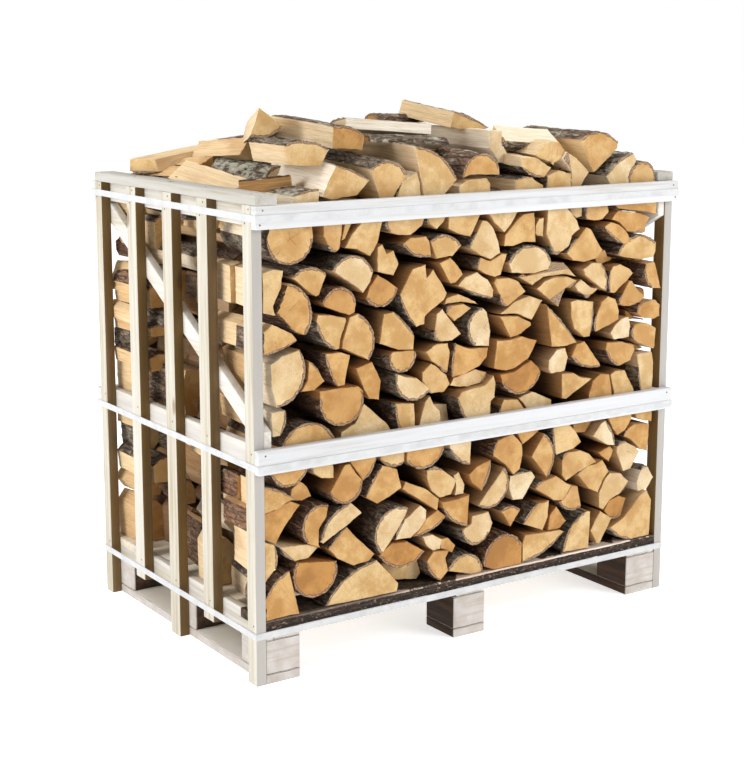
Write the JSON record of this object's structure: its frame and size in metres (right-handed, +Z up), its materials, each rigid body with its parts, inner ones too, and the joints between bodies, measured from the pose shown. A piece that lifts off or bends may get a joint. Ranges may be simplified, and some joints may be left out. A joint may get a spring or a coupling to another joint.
{
  "type": "pallet of firewood",
  "caption": "Slatted wooden crate on a pallet, filled with rows of split firewood and heaped with loose logs, held by three flat straps.",
  "frame": {"origin": "on the floor, under the middle of the crate", "axes": "+Z up; +X along the long side; the front long side, where the log ends show in the picture, faces -Y"},
  "size_m": [1.203, 0.823, 1.253],
  "materials": {
    "sawn_wood": "rough sawn, dry and pale",
    "pallet_wood": "rough sawn",
    "bark_edge_wood": "sawn board with bark on its front edge",
    "split_wood": "split and cross-cut, with bark",
    "pale_wood": "split and cross-cut, with bark",
    "strap_plastic": "woven white band"
  },
  "bodies": {
    "root": {"block_left_front": "pallet_wood", "block_left_centre": "pallet_wood", "block_left_rear": "pallet_wood", "block_middle_front": "pallet_wood", "block_middle_centre": "pallet_wood", "block_middle_rear": "pallet_wood", "block_right_front": "pallet_wood", "block_right_centre": "pallet_wood", "block_right_rear": "pallet_wood", "pad_front": "pallet_wood", "pad_centre": "pallet_wood", "pad_rear": "pallet_wood", "skid_left": "pallet_wood", "skid_right": "pallet_wood", "stringer_left": "pallet_wood", "stringer_middle": "pallet_wood", "stringer_right": "pallet_wood", "deck_board_1": "bark_edge_wood", "deck_board_2": "pallet_wood", "deck_board_3": "pallet_wood", "deck_board_4": "pallet_wood", "deck_board_5": "pallet_wood", "slat_left_1": "sawn_wood", "slat_left_2": "sawn_wood", "slat_left_3": "sawn_wood", "slat_left_4": "sawn_wood", "slat_left_5": "sawn_wood", "rail_left_top": "sawn_wood", "rail_left_middle": "sawn_wood", "rail_left_bottom": "sawn_wood", "brace_left": "sawn_wood", "cap_left": "sawn_wood", "slat_right_1": "sawn_wood", "slat_right_2": "sawn_wood", "slat_right_3": "sawn_wood", "slat_right_4": "sawn_wood", "slat_right_5": "sawn_wood", "rail_right_top": "sawn_wood", "rail_right_middle": "sawn_wood", "rail_right_bottom": "sawn_wood", "brace_right": "sawn_wood", "cap_right": "sawn_wood", "plank_front_top": "sawn_wood", "plank_front_middle": "sawn_wood", "plank_rear_top": "sawn_wood", "plank_rear_middle": "sawn_wood", "strap_low": "strap_plastic", "strap_middle": "strap_plastic", "strap_top": "strap_plastic", "logs_front_row": "split_wood", "logs_middle_row": "split_wood", "logs_rear_row": "split_wood", "logs_heap": "split_wood", "log_big_end": "pale_wood", "log_white_side": "pale_wood", "log_peak": "pale_wood", "log_left_peak": "pale_wood", "log_hollow": "pale_wood", "log_peeled": "pale_wood", "log_split_face": "pale_wood"}
  },
  "joints": []
}
